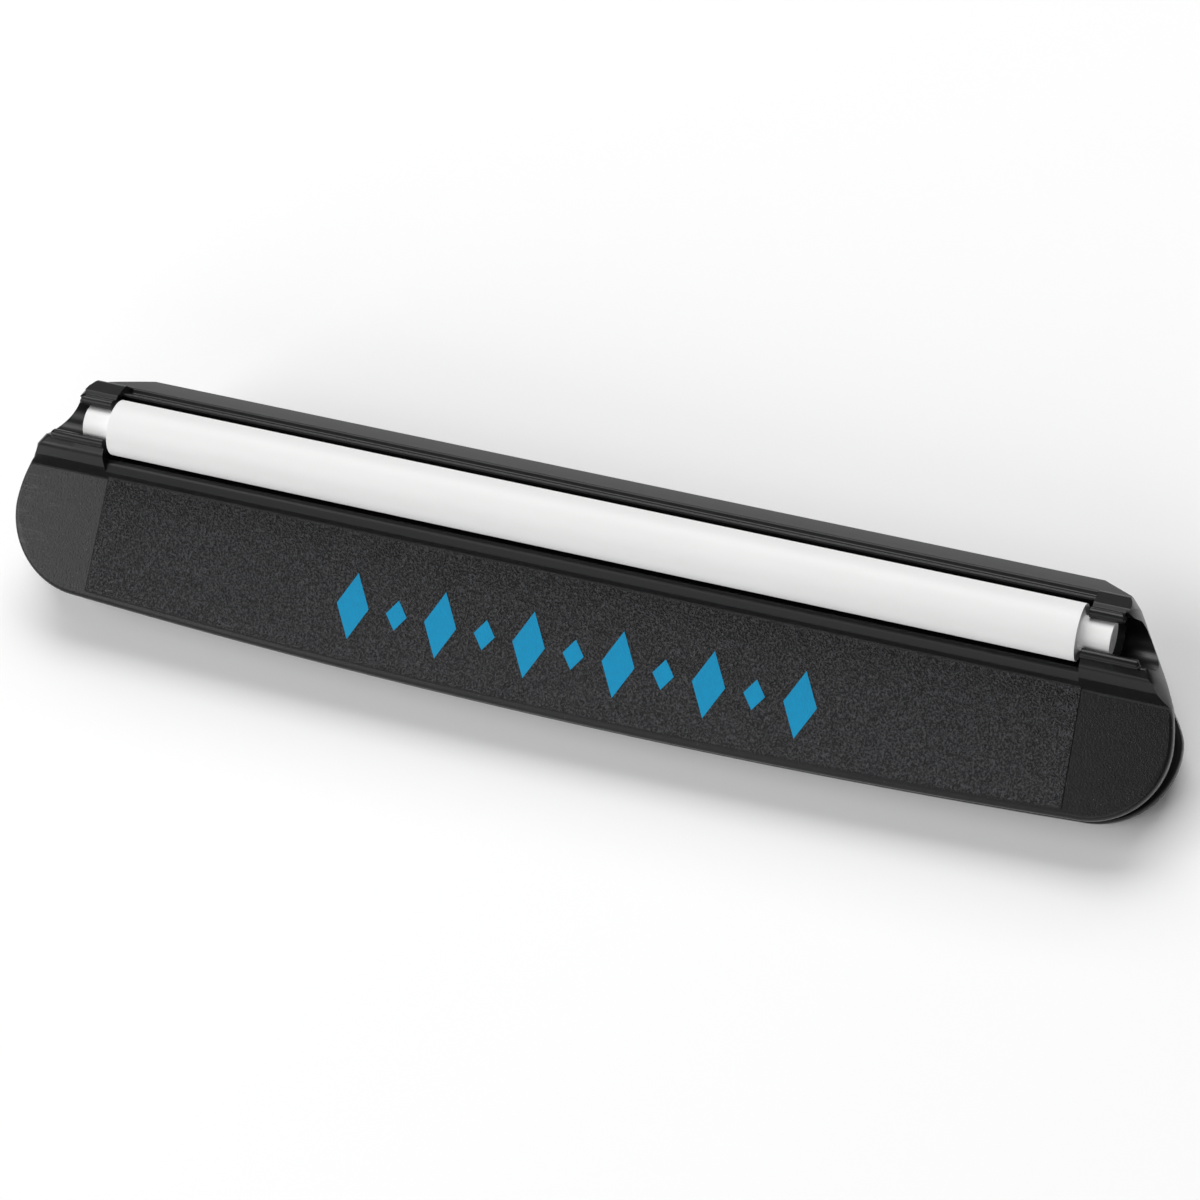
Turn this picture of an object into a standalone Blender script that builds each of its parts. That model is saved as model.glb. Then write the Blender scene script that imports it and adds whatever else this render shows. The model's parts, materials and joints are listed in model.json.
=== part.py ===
"""A clip-on angle guide for sharpening a kitchen knife on a whetstone.

Two mirrored jaws turn on a hinge pin inside the crest and are pulled shut by two folded
spring clips. They grip the knife's faces near its spine. A ceramic rod in a groove along
each jaw rolls on the stone and holds the blade at its angle.

The guide is drawn upright, in its own axes: x along its length, z from the free edges of
the jaws up to the crest, and u outwards from the mid-plane of the blade, which is -y on
the front jaw and +y on the rear jaw. At the end the whole guide is laid down as it rests
on a bench, on the rear rod and the rear jaw's free edge, with the front jaw up.
"""

import math

import bmesh
import bpy
from mathutils import Matrix, Vector

MM = 0.001

# Driving dimensions, in metres.
HALF_LENGTH = 60.0 * MM
GROOVE_END = 50.3 * MM
SEAT_END = 53.5 * MM
BEAD_END = 56.1 * MM

ROD_U = 7.2 * MM
ROD_Z = 18.7 * MM
ROD_RADIUS = 2.8 * MM
ROD_HALF = 49.73 * MM
JOURNAL_RADIUS = 1.7 * MM
JOURNAL_HALF = 52.8 * MM
ROD_EDGE = 0.3 * MM

GROOVE_RADIUS = 3.3 * MM
SEAT_RADIUS = 1.85 * MM
SCOOP_CENTRE = (7.3 * MM, 18.9 * MM)
SCOOP_DEEP = 3.1 * MM
SCOOP_HIGH = 2.3 * MM
FINGER_RADIUS = 0.5 * MM
FINGER_ANGLE = 57.0

PIN_Z = 22.2 * MM
PIN_RADIUS = 0.6 * MM
PIN_HALF = 50.5 * MM
PIN_HOLE_RADIUS = 0.7 * MM
PIN_STOP = 51.0 * MM
KNUCKLE_RADIUS = 1.5 * MM
KNUCKLE_POCKET_RADIUS = 1.75 * MM
KNUCKLE_POCKET_HALF = 51.2 * MM
CREST_GAP = 0.25 * MM

FRONT_KNUCKLES = [(-50.5 * MM, -43.5 * MM), (-4.5 * MM, 4.5 * MM), (43.5 * MM, 50.5 * MM)]
REAR_KNUCKLES = [
    (-42.9 * MM, -34.9 * MM),
    (-13.1 * MM, -5.1 * MM),
    (5.1 * MM, 13.1 * MM),
    (34.9 * MM, 42.9 * MM),
]

SPRING_CENTRE = 24.5 * MM
SPRING_WIDTH = 18.0 * MM
SPRING_THICKNESS = 0.5 * MM
SPRING_BEND = 1.2 * MM
SPRING_TIP_Z = 8.6 * MM
SPRING_GAP = 0.1 * MM
RECESS_SIDE_GAP = 0.4 * MM
RECESS_DEPTH = SPRING_THICKNESS + 2 * SPRING_GAP
RECESS_BOTTOM_Z = 8.1 * MM
KEEPER_LOW_Z = 9.3 * MM
KEEPER_HIGH_Z = 10.5 * MM
KEEPER_PROUD = 0.6 * MM
KEEPER_OVERLAP = 1.2 * MM

WALL_U = 2.3 * MM
CHAMBER_U = 2.95 * MM
CHAMBER_LOW_Z = 12.8 * MM
CHAMBER_HIGH_Z = 14.6 * MM
WALL_LOW_Z = 16.2 * MM
INNER_SLOPE = 0.144

PANEL_TOP = (4.75 * MM, 13.6 * MM)
PANEL_FOOT = (2.78 * MM, 0.0)
RIM_RADIUS = 0.5 * MM

# The end blocks: where their long rounded shoulders fade in, the taper of their end walls
# towards the mid-plane, and how much shorter the rear jaw is at block height.
BLOCK_Z = (13.2 * MM, 15.2 * MM)
END_DRAFT = 0.17
DRAFT_U = 3.8 * MM
REAR_BLOCK_INSET = 1.2 * MM
REAR_INSET_Z = (10.5 * MM, 15.2 * MM)

PAD_HALF = 46.0 * MM
PAD_LOW_Z = 1.7 * MM
PAD_HIGH_Z = 6.9 * MM
PAD_FACE_U = 0.15 * MM
PAD_SUNK = 0.3 * MM
PAD_GAP = 0.1 * MM

ARC_STEPS = 14
ROD_STEPS = 36
FLAT_ANGLE = 0.0005

FRONT = -1
REAR = 1


def clear_scene():
    for obj in list(bpy.data.objects):
        bpy.data.objects.remove(obj, do_unlink=True)


def material(name, colour, roughness, metallic=0.0):
    made = bpy.data.materials.new(name)
    made.use_nodes = True
    shader = made.node_tree.nodes["Principled BSDF"]
    shader.inputs["Base Color"].default_value = (*colour, 1.0)
    shader.inputs["Roughness"].default_value = roughness
    shader.inputs["Metallic"].default_value = metallic
    return made


# Outlines: lists of 2-D points, with round stretches worked out.


def arc(centre, radius, start, end, steps=ARC_STEPS):
    """Points on a circle from start to end, in degrees counter-clockwise from +u."""
    points = []
    for i in range(steps + 1):
        angle = math.radians(start + (end - start) * i / steps)
        points.append((centre[0] + radius * math.cos(angle), centre[1] + radius * math.sin(angle)))
    return points


def fillet(before, corner, after, radius, steps):
    """The points that replace a corner by a tangent arc of the given radius."""
    here = Vector(corner)
    back = (Vector(before) - here).normalized()
    on = (Vector(after) - here).normalized()
    half = math.acos(max(-1.0, min(1.0, back.dot(on)))) / 2
    centre = here + (back + on).normalized() * (radius / math.sin(half))
    reach = radius / math.tan(half)
    first = here + back * reach - centre
    turn = (math.pi - 2 * half) / steps
    if first.x * (here + on * reach - centre).y - first.y * (here + on * reach - centre).x < 0:
        turn = -turn
    points = []
    for i in range(steps + 1):
        spun = Matrix.Rotation(turn * i, 2) @ first
        points.append(tuple(centre + spun))
    return points


def rounded(corners, steps=3):
    """An outline from corners (u, z) or (u, z, radius), each radius made a tangent arc."""
    outline = []
    count = len(corners)
    for i, corner in enumerate(corners):
        if len(corner) == 2:
            outline.append(tuple(corner))
            continue
        before = corners[i - 1][:2]
        after = corners[(i + 1) % count][:2]
        outline.extend(fillet(before, corner[:2], after, corner[2], steps))
    return outline


def inner_u(z):
    """How far the jaw's inner face stands from the mid-plane at a height."""
    if z >= WALL_LOW_Z:
        return WALL_U
    if z >= CHAMBER_HIGH_Z:
        share = (z - CHAMBER_HIGH_Z) / (WALL_LOW_Z - CHAMBER_HIGH_Z)
        return CHAMBER_U + share * (WALL_U - CHAMBER_U)
    if z >= CHAMBER_LOW_Z:
        return CHAMBER_U
    return CHAMBER_U - INNER_SLOPE * (CHAMBER_LOW_Z - z)


def roof():
    """The crest's sloping, slightly crowned top, from its edge back to the slit."""
    radius = 60.0 * MM
    edge_angle = 68.2
    edge = (4.3 * MM, 23.1 * MM)
    turn = math.radians(edge_angle)
    centre = (edge[0] - radius * math.cos(turn), edge[1] - radius * math.sin(turn))
    slit_angle = math.degrees(math.acos((CREST_GAP - centre[0]) / radius))
    return arc(centre, radius, edge_angle, slit_angle, 4)


def inside():
    """The inner side of a jaw, from the crest's slit down to the free edge."""
    lead_in = 0.7 * MM
    return [
        (CREST_GAP, 20.95 * MM),
        (WALL_U, 20.4 * MM, 0.4 * MM),
        (WALL_U, WALL_LOW_Z),
        (CHAMBER_U, CHAMBER_HIGH_Z, 0.6 * MM),
        (CHAMBER_U, CHAMBER_LOW_Z, 0.6 * MM),
        (inner_u(lead_in), lead_in),
        (inner_u(0.0) + 0.45 * MM, -3.0 * MM),
    ]


def foot():
    """The panel's outer face, carried on below the free edge, which the outline trims."""
    slope = (PANEL_TOP[0] - PANEL_FOOT[0]) / (PANEL_TOP[1] - PANEL_FOOT[1])
    below = 3.0 * MM
    return [(PANEL_FOOT[0] - slope * below, -below)]


def lower_cove(lip):
    """From the panel's top out under a lip."""
    return [(*PANEL_TOP, 0.3 * MM), lip]


def groove_section():
    """A jaw's section along the rod's groove."""
    opening = math.degrees(math.acos((6.56 * MM - ROD_U) / GROOVE_RADIUS))
    groove = arc((ROD_U, ROD_Z), GROOVE_RADIUS, 360.0 - opening, opening)
    corners = foot()
    corners += lower_cove((6.2 * MM, 14.2 * MM, 0.3 * MM))
    corners += [(6.62 * MM, 15.0 * MM, 0.6 * MM)]
    corners += groove
    corners += [(6.5 * MM, 22.25 * MM, 0.2 * MM)]
    corners += [(4.42 * MM, 22.45 * MM, 0.3 * MM)]
    corners += roof()
    corners += inside()
    return rounded(corners)


def finger(side):
    """The centre of the round lip that holds the journal, above (+1) or below (-1) it."""
    reach = SEAT_RADIUS + FINGER_RADIUS
    angle = math.radians(FINGER_ANGLE) * side
    return (ROD_U + reach * math.cos(angle), ROD_Z + reach * math.sin(angle))


def end_block_base():
    corners = foot()
    corners += lower_cove((6.9 * MM, 14.5 * MM, 0.6 * MM))
    corners += [(8.15 * MM, 15.45 * MM, 0.8 * MM)]
    return corners


def end_block_top():
    corners = [(7.95 * MM, 21.3 * MM, 0.15 * MM)]
    corners += [(7.8 * MM, 21.75 * MM, 0.3 * MM)]
    corners += [(6.3 * MM, 23.02 * MM, 0.7 * MM)]
    return corners


def seat_section():
    """A jaw's section at a journal: the seat between its two snap fingers."""
    corners = end_block_base()
    corners += [(8.2 * MM, 16.3 * MM)]
    corners += arc(finger(-1), FINGER_RADIUS, -125.0, 180.0 - FINGER_ANGLE, 8)
    corners += arc((ROD_U, ROD_Z), SEAT_RADIUS, 360.0 - FINGER_ANGLE, FINGER_ANGLE)[1:-1]
    corners += arc(finger(1), FINGER_RADIUS, FINGER_ANGLE - 180.0, 125.0, 8)
    corners += end_block_top()
    corners += roof()
    corners += inside()
    return rounded(corners)


def scoop_section():
    """A jaw's section past the journal: a scoop between the two end blocks."""
    corners = end_block_base()
    corners += [(8.15 * MM, 16.6 * MM, 0.3 * MM)]
    for u, z in arc((0.0, 0.0), 1.0, 270.0, 115.0):
        corners.append((SCOOP_CENTRE[0] + SCOOP_DEEP * u, SCOOP_CENTRE[1] + SCOOP_HIGH * z))
    corners += [(7.4 * MM, 21.0 * MM, 0.2 * MM)]
    corners += end_block_top()
    corners += roof()
    corners += inside()
    return rounded(corners)


def end_outline():
    """The right end of the guide as seen square on to the jaw, from the bottom up."""
    bottom_radius = 900.0 * MM
    corner_radius = 8.0 * MM
    corner = (HALF_LENGTH - corner_radius, 9.5 * MM)
    flank_radius = 13.8 * MM
    flank = (HALF_LENGTH - flank_radius, 9.0 * MM)
    points = []
    steps = 12
    for i in range(steps):
        x = corner[0] * i / steps
        points.append((x, bottom_radius - math.sqrt(bottom_radius**2 - x**2)))
    points += arc(corner, corner_radius, -90.0, 0.0, 10)
    points += arc(flank, flank_radius, 4.0, 32.0, 5)
    points += [(54.35 * MM, 22.05 * MM, 1.2 * MM)]
    points += [(53.1 * MM, 23.35 * MM, 1.0 * MM)]
    points += [(47.84 * MM, 26.0 * MM)]
    return rounded(points)


def whole_outline():
    right = end_outline()
    left = [(-x, z) for x, z in reversed(right[1:])]
    return right + left


# Solids.


def skin(name, rings):
    """A closed solid over rings of points, which all have the same count."""
    mesh = bpy.data.meshes.new(name)
    work = bmesh.new()
    loops = [[work.verts.new(point) for point in ring] for ring in rings]
    count = len(loops[0])
    for first, second in zip(loops, loops[1:]):
        for i in range(count):
            j = (i + 1) % count
            work.faces.new((first[i], first[j], second[j], second[i]))
    work.faces.new(list(reversed(loops[0])))
    work.faces.new(loops[-1])
    bmesh.ops.recalc_face_normals(work, faces=work.faces)
    work.to_mesh(mesh)
    work.free()
    obj = bpy.data.objects.new(name, mesh)
    bpy.context.scene.collection.objects.link(obj)
    return obj


def prism(name, outline, place, low, high):
    """A closed prism: place(a, b, t) puts an outline point at the distance t."""
    return skin(name, [[place(a, b, t) for a, b in outline] for t in (low, high)])


def along_x(name, outline, side, low, high):
    """A section (u, z) of one jaw, run along the guide."""
    return prism(name, outline, lambda u, z, x: (x, side * u, z), low, high)


def rod_x(name, centre, radius, low, high, steps=ROD_STEPS):
    """A round bar along x about a centre (y, z)."""
    outline = arc((centre[0], centre[1]), radius, 0.0, 360.0, steps)[:-1]
    return prism(name, outline, lambda y, z, x: (x, y, z), low, high)


def combine(target, tool, operation):
    """Applies one exact Boolean and removes the tool."""
    step = target.modifiers.new("combine", "BOOLEAN")
    step.operation = operation
    step.solver = "EXACT"
    step.object = tool
    graph = bpy.context.evaluated_depsgraph_get()
    result = bpy.data.meshes.new_from_object(target.evaluated_get(graph))
    target.modifiers.clear()
    target.data = result
    bpy.data.objects.remove(tool, do_unlink=True)


def split_bent_faces(obj):
    """Cuts each face whose corners don't lie in one plane into flat ones."""
    work = bmesh.new()
    work.from_mesh(obj.data)
    bmesh.ops.connect_verts_nonplanar(work, angle_limit=FLAT_ANGLE, faces=work.faces)
    work.to_mesh(obj.data)
    work.free()


def tidy(obj):
    """Joins points that a Boolean left on top of each other and shades round faces."""
    work = bmesh.new()
    work.from_mesh(obj.data)
    bmesh.ops.remove_doubles(work, verts=work.verts, dist=0.002 * MM)
    bmesh.ops.dissolve_degenerate(work, edges=work.edges, dist=0.002 * MM)
    bmesh.ops.recalc_face_normals(work, faces=work.faces)
    work.to_mesh(obj.data)
    work.free()
    obj.data.shade_smooth()
    obj.data.set_sharp_from_angle(angle=math.radians(32.0))


def interpolate(z, table):
    """The value at a height, from a table of (height, value) in rising order."""
    if z <= table[0][0]:
        return table[0][1]
    for low, high in zip(table, table[1:]):
        if z <= high[0]:
            return low[1] + (high[1] - low[1]) * (z - low[0]) / (high[0] - low[0])
    return table[-1][1]


def fade(z, span):
    share = min(1.0, max(0.0, (z - span[0]) / (span[1] - span[0])))
    return share * share * (3.0 - 2.0 * share)


def outer_edge(z):
    """Where the outer edge's rounding starts, how far it runs outwards, and how far in: a
    plain round rim on the panel, and long rounded shoulders on the end blocks."""
    low = BLOCK_Z[0]
    slope = (PANEL_TOP[0] - PANEL_FOOT[0]) / PANEL_TOP[1]
    start = [(0.0, PANEL_FOOT[0] - RIM_RADIUS), (low, PANEL_FOOT[0] + slope * low - RIM_RADIUS)]
    start += [(14.8 * MM, 3.4 * MM), (17.4 * MM, 3.4 * MM), (20.4 * MM, 4.4 * MM)]
    run = [(low, RIM_RADIUS), (14.8 * MM, 4.75 * MM)]
    run += [(17.4 * MM, 4.75 * MM), (20.4 * MM, 3.75 * MM)]
    inset = [(low, RIM_RADIUS), (14.4 * MM, 2.8 * MM), (14.9 * MM, 2.8 * MM)]
    inset += [(15.7 * MM, 1.3 * MM), (17.4 * MM, 1.3 * MM), (20.4 * MM, 1.4 * MM)]
    inset += [(21.8 * MM, 1.4 * MM), (23.0 * MM, 0.05 * MM)]
    return interpolate(z, start), interpolate(z, run), interpolate(z, inset)


def edge_places(z):
    """The jaw's end edge at a height, from inside out: points (u, inset)."""
    start, run, inset = outer_edge(z)
    places = []
    for angle in (0, 21, 42, 63, 84):
        turn = math.radians(angle)
        places.append((start + run * math.sin(turn), inset * (1.0 - math.cos(turn))))
    last = (start + run + 0.03 * MM, places[-1][1] + 0.5 * min(inset, RIM_RADIUS))
    return [(-15.0 * MM, 0.0), (0.0, 0.0)] + places + [last, (15.0 * MM, last[1])]


def outline_tool(side):
    """The outline as a solid through one jaw, with the jaw's outer edge rounded. The ends
    taper inwards at block height, and the rear jaw's blocks stand a little further in."""
    outline = whole_outline()
    rings = []
    for i, (x, z) in enumerate(outline):
        run = (Vector(outline[(i + 1) % len(outline)]) - Vector(outline[i - 1])).normalized()
        normal = Vector((run.y, -run.x))
        draft = END_DRAFT * fade(z, BLOCK_Z)
        shift = REAR_BLOCK_INSET * fade(z, REAR_INSET_Z) if side == REAR else 0.0
        ring = []
        for u, inset in edge_places(z):
            taper = draft * min(DRAFT_U, max(0.0, DRAFT_U - u))
            moved = Vector((x, z)) - normal * (inset + taper)
            if abs(x) > SEAT_END / 2:
                moved.x -= math.copysign(shift, x)
            ring.append((moved.x, side * u, moved.y))
        rings.append(ring)
    return skin("outline", list(zip(*rings)))


def spring_recess():
    """The part of the section that is cleared for a spring's leg, round the keeper bar."""
    inner = [(0.0, 23.0 * MM), (1.35 * MM, 23.0 * MM)]
    deep = []
    for z in (20.7 * MM, WALL_LOW_Z, CHAMBER_HIGH_Z, CHAMBER_LOW_Z, RECESS_BOTTOM_Z):
        deep.append((inner_u(z) + RECESS_DEPTH, z))
    back = [(0.0, RECESS_BOTTOM_Z)]
    back += [(0.0, KEEPER_LOW_Z), (inner_u(KEEPER_LOW_Z), KEEPER_LOW_Z)]
    back += [(inner_u(KEEPER_HIGH_Z), KEEPER_HIGH_Z), (0.0, KEEPER_HIGH_Z)]
    return inner + deep + back


def keeper_section():
    """The bar that holds a spring's leg, standing proud of the jaw's inner face."""
    root = 0.3 * MM
    return [
        (inner_u(KEEPER_LOW_Z) + root, KEEPER_LOW_Z),
        (inner_u(KEEPER_HIGH_Z) + root, KEEPER_HIGH_Z),
        (inner_u(KEEPER_HIGH_Z) - KEEPER_PROUD, KEEPER_HIGH_Z),
        (inner_u(KEEPER_LOW_Z) - KEEPER_PROUD, KEEPER_LOW_Z),
    ]


def pad_recess_section():
    return [
        (inner_u(PAD_LOW_Z) + PAD_SUNK + PAD_GAP, PAD_LOW_Z - PAD_GAP),
        (inner_u(PAD_HIGH_Z) + PAD_SUNK + PAD_GAP, PAD_HIGH_Z + PAD_GAP),
        (0.0, PAD_HIGH_Z + PAD_GAP),
        (0.0, PAD_LOW_Z - PAD_GAP),
    ]


def pad_section():
    """A grip pad: flat towards the blade, with a lead-in at its lower edge."""
    return [
        (inner_u(PAD_LOW_Z) + PAD_SUNK, PAD_LOW_Z),
        (inner_u(PAD_HIGH_Z) + PAD_SUNK, PAD_HIGH_Z),
        (PAD_FACE_U + 0.3 * MM, PAD_HIGH_Z),
        (PAD_FACE_U, PAD_HIGH_Z - 0.3 * MM),
        (PAD_FACE_U, PAD_LOW_Z + 0.9 * MM),
        (PAD_FACE_U + 0.6 * MM, PAD_LOW_Z),
    ]


def add_knuckles(jaw, side, spans):
    """Hinge knuckles round the pin, each with a web into the jaw's crest."""
    web = [
        (0.0, 21.2 * MM),
        (2.5 * MM, 21.2 * MM),
        (2.5 * MM, 23.5 * MM),
        (0.0, 23.5 * MM),
    ]
    for low, high in spans:
        combine(jaw, rod_x("knuckle", (0.0, PIN_Z), KNUCKLE_RADIUS, low, high, 24), "UNION")
        combine(jaw, along_x("web", web, side, low, high), "UNION")


def make_jaw(name, side, knuckles):
    """One moulded jaw: half the crest, the rod's groove and end seats, and the panel."""
    jaw = along_x(name, groove_section(), side, -GROOVE_END, GROOVE_END)
    overrun = 62.0 * MM
    for end in (-1, 1):
        seat = sorted((end * GROOVE_END, end * SEAT_END))
        tip = sorted((end * SEAT_END, end * overrun))
        combine(jaw, along_x("seat", seat_section(), side, *seat), "UNION")
        combine(jaw, along_x("tip", scoop_section(), side, *tip), "UNION")
        bead_u, bead_z = finger(-1)
        bead = sorted((end * (SEAT_END - 0.4 * MM), end * BEAD_END))
        bar = rod_x("bead", (side * bead_u, bead_z), FINGER_RADIUS - 0.01 * MM, *bead, 20)
        combine(jaw, bar, "UNION")
    combine(jaw, outline_tool(side), "INTERSECT")
    split_bent_faces(jaw)
    pocket = KNUCKLE_POCKET_HALF
    combine(jaw, rod_x("pocket", (0.0, PIN_Z), KNUCKLE_POCKET_RADIUS, -pocket, pocket), "DIFFERENCE")
    for end in (-1, 1):
        half = SPRING_WIDTH / 2 + RECESS_SIDE_GAP
        low = end * SPRING_CENTRE - half
        high = end * SPRING_CENTRE + half
        bar = along_x("keeper", keeper_section(), side, low - KEEPER_OVERLAP, high + KEEPER_OVERLAP)
        combine(jaw, bar, "UNION")
        combine(jaw, along_x("recess", spring_recess(), side, low, high), "DIFFERENCE")
    pad_half = PAD_HALF + PAD_GAP
    combine(jaw, along_x("pad_recess", pad_recess_section(), side, -pad_half, pad_half), "DIFFERENCE")
    add_knuckles(jaw, side, knuckles)
    bore_start = -56.0 * MM if side == FRONT else -KNUCKLE_POCKET_HALF
    combine(jaw, rod_x("bore", (0.0, PIN_Z), PIN_HOLE_RADIUS, bore_start, PIN_STOP, 20), "DIFFERENCE")
    tidy(jaw)
    return jaw


def make_ceramic_rod(name, side):
    """A ground ceramic rod, turned about x, with a thinner journal at each end."""
    radii = [
        (JOURNAL_HALF, JOURNAL_RADIUS - ROD_EDGE),
        (JOURNAL_HALF - ROD_EDGE, JOURNAL_RADIUS),
        (ROD_HALF, JOURNAL_RADIUS),
        (ROD_HALF, ROD_RADIUS - ROD_EDGE),
        (ROD_HALF - ROD_EDGE, ROD_RADIUS),
    ]
    profile = [(-x, r) for x, r in radii] + [(x, r) for x, r in reversed(radii)]
    rings = []
    for x, radius in profile:
        circle = arc((0.0, 0.0), radius, 0.0, 360.0, ROD_STEPS)[:-1]
        rings.append([(x, y, z) for y, z in circle])
    rod = skin(name, rings)
    rod.data.shade_smooth()
    rod.data.set_sharp_from_angle(angle=math.radians(32.0))
    rod.location = (0.0, side * ROD_U, ROD_Z)
    return rod


def spring_path():
    """The middle line of a folded spring's right half, from its tip up to the fold."""
    sunk = SPRING_GAP + SPRING_THICKNESS / 2
    heights = (SPRING_TIP_Z, CHAMBER_LOW_Z, CHAMBER_HIGH_Z, WALL_LOW_Z, 20.0 * MM)
    points = [(inner_u(z) + sunk, z) for z in heights]
    points[-1] = (*points[-1], 0.8 * MM)
    shoulder = arc((0.0, PIN_Z), SPRING_BEND, 30.0, 90.0, 8)
    before = points[-2]
    leg = points[:-1] + fillet(before, points[-1][:2], shoulder[0], 0.8 * MM, 4)
    return leg + shoulder


def make_spring(name, centre_x):
    """A strip of spring steel folded over the hinge pin, one leg down inside each jaw."""
    half = spring_path()
    path = [Vector(point) for point in half]
    path += [Vector((-u, z)) for u, z in reversed(half[:-1])]
    outer = []
    inner = []
    for i, here in enumerate(path):
        before = path[max(i - 1, 0)]
        after = path[min(i + 1, len(path) - 1)]
        run = (after - before).normalized()
        normal = Vector((run.y, -run.x)) * (SPRING_THICKNESS / 2)
        outer.append(tuple(here + normal))
        inner.append(tuple(here - normal))
    outline = outer + list(reversed(inner))
    low = centre_x - SPRING_WIDTH / 2
    return along_x(name, outline, REAR, low, low + SPRING_WIDTH)


def make_pin():
    return rod_x("hinge_pin", (0.0, PIN_Z), PIN_RADIUS, -PIN_HALF, PIN_HALF, 20)


def make_pad(name, side):
    return along_x(name, pad_section(), side, -PAD_HALF, PAD_HALF)


def move_origin(obj, point):
    """Puts an object's origin on its joint's axis without moving its faces."""
    offset = Vector(point) - obj.location
    obj.data.transform(Matrix.Translation(-offset))
    obj.location = point


def lying_angle():
    """The turn about x that lays the rear rod and the rear free edge on one plane."""
    reach_y = ROD_U - PANEL_FOOT[0]
    reach_z = ROD_Z - PANEL_FOOT[1]
    length = math.hypot(reach_y, reach_z)
    return math.atan2(reach_y, reach_z) - math.acos(ROD_RADIUS / length)


def lay_down(pieces):
    """Parents the guide to a frame that lies on its back, centred on the ground."""
    frame = bpy.data.objects.new("resting_frame", None)
    bpy.context.scene.collection.objects.link(frame)
    frame.rotation_euler = (lying_angle(), 0.0, 0.0)
    turn = Matrix.Rotation(lying_angle(), 3, "X")
    corners = []
    for piece in pieces:
        piece.parent = frame
        corners += [turn @ (piece.location + vertex.co) for vertex in piece.data.vertices]
    middle_y = (min(c.y for c in corners) + max(c.y for c in corners)) / 2
    frame.location = (0.0, -middle_y, -min(c.z for c in corners))


def build():
    clear_scene()
    plastic = material("black_plastic", (0.03, 0.03, 0.032), 0.45)
    ceramic = material("white_ceramic", (0.86, 0.86, 0.85), 0.5)
    steel = material("spring_steel", (0.6, 0.6, 0.62), 0.3, 1.0)
    rubber = material("grip_rubber", (0.05, 0.05, 0.052), 0.8)

    hinge = (0.0, 0.0, PIN_Z)
    pieces = []
    for name, side, knuckles in (
        ("front", FRONT, FRONT_KNUCKLES),
        ("rear", REAR, REAR_KNUCKLES),
    ):
        jaw = make_jaw(f"{name}_jaw", side, knuckles)
        pad = make_pad(f"{name}_grip_pad", side)
        rod = make_ceramic_rod(f"{name}_ceramic_rod", side)
        move_origin(jaw, hinge)
        move_origin(pad, hinge)
        jaw.data.materials.append(plastic)
        pad.data.materials.append(rubber)
        rod.data.materials.append(ceramic)
        pieces += [jaw, pad, rod]
    for name, end in (("left", -1), ("right", 1)):
        spring = make_spring(f"{name}_spring_clip", end * SPRING_CENTRE)
        move_origin(spring, hinge)
        spring.data.materials.append(steel)
        pieces.append(spring)
    pin = make_pin()
    move_origin(pin, hinge)
    pin.data.materials.append(steel)
    pieces.append(pin)
    lay_down(pieces)


build()
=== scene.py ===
"""Looks for a clip-on knife sharpening guide: two black moulded jaws, each with a white
ceramic rod, on a hinge pin with two folded steel springs and rubber grip pads.

Every piece is drawn in the guide's own upright axes, in millimetres: x along its length,
z from the jaws' free edges up to the crest, and u outwards from the mid-plane, which is
-y on the front jaw and +y on the rear one. TO_WORLD lays it down where the frame has it.
"""

import json
import math

import bmesh
import bpy
from mathutils import Matrix, Vector


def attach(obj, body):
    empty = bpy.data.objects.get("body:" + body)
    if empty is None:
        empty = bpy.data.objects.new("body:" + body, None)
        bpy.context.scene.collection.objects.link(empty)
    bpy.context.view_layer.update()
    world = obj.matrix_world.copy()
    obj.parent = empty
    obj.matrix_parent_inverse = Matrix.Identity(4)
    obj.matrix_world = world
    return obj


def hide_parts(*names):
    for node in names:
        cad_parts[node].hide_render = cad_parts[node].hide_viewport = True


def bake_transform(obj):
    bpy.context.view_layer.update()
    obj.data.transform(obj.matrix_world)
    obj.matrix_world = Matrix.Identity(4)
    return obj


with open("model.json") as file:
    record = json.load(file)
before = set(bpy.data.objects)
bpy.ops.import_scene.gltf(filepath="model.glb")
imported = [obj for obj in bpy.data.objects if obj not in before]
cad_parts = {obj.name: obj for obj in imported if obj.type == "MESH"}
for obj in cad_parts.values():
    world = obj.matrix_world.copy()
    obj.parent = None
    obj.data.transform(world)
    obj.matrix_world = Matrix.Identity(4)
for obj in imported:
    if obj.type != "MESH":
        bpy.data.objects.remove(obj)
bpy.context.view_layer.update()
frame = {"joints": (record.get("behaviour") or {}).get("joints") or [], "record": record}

MM = 0.001

HALF_LENGTH = 60.0
GROOVE_END = 50.3
SEAT_END = 53.5
BEAD_END = 56.1
BEAD_ROOT = 0.4
PAST_THE_END = 62.0

ROD_U = 7.2
ROD_Z = 18.7
ROD_RADIUS = 2.8
ROD_HALF = 49.73
ROD_EDGE = 0.3
JOURNAL_RADIUS = 1.7
JOURNAL_HALF = 52.8

GROOVE_RADIUS = 3.3
SEAT_RADIUS = 1.85
SCOOP_CENTRE = (7.3, 18.9)
SCOOP_DEEP = 3.1
SCOOP_HIGH = 2.3
FINGER_RADIUS = 0.5
FINGER_ANGLE = 57.0

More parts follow.
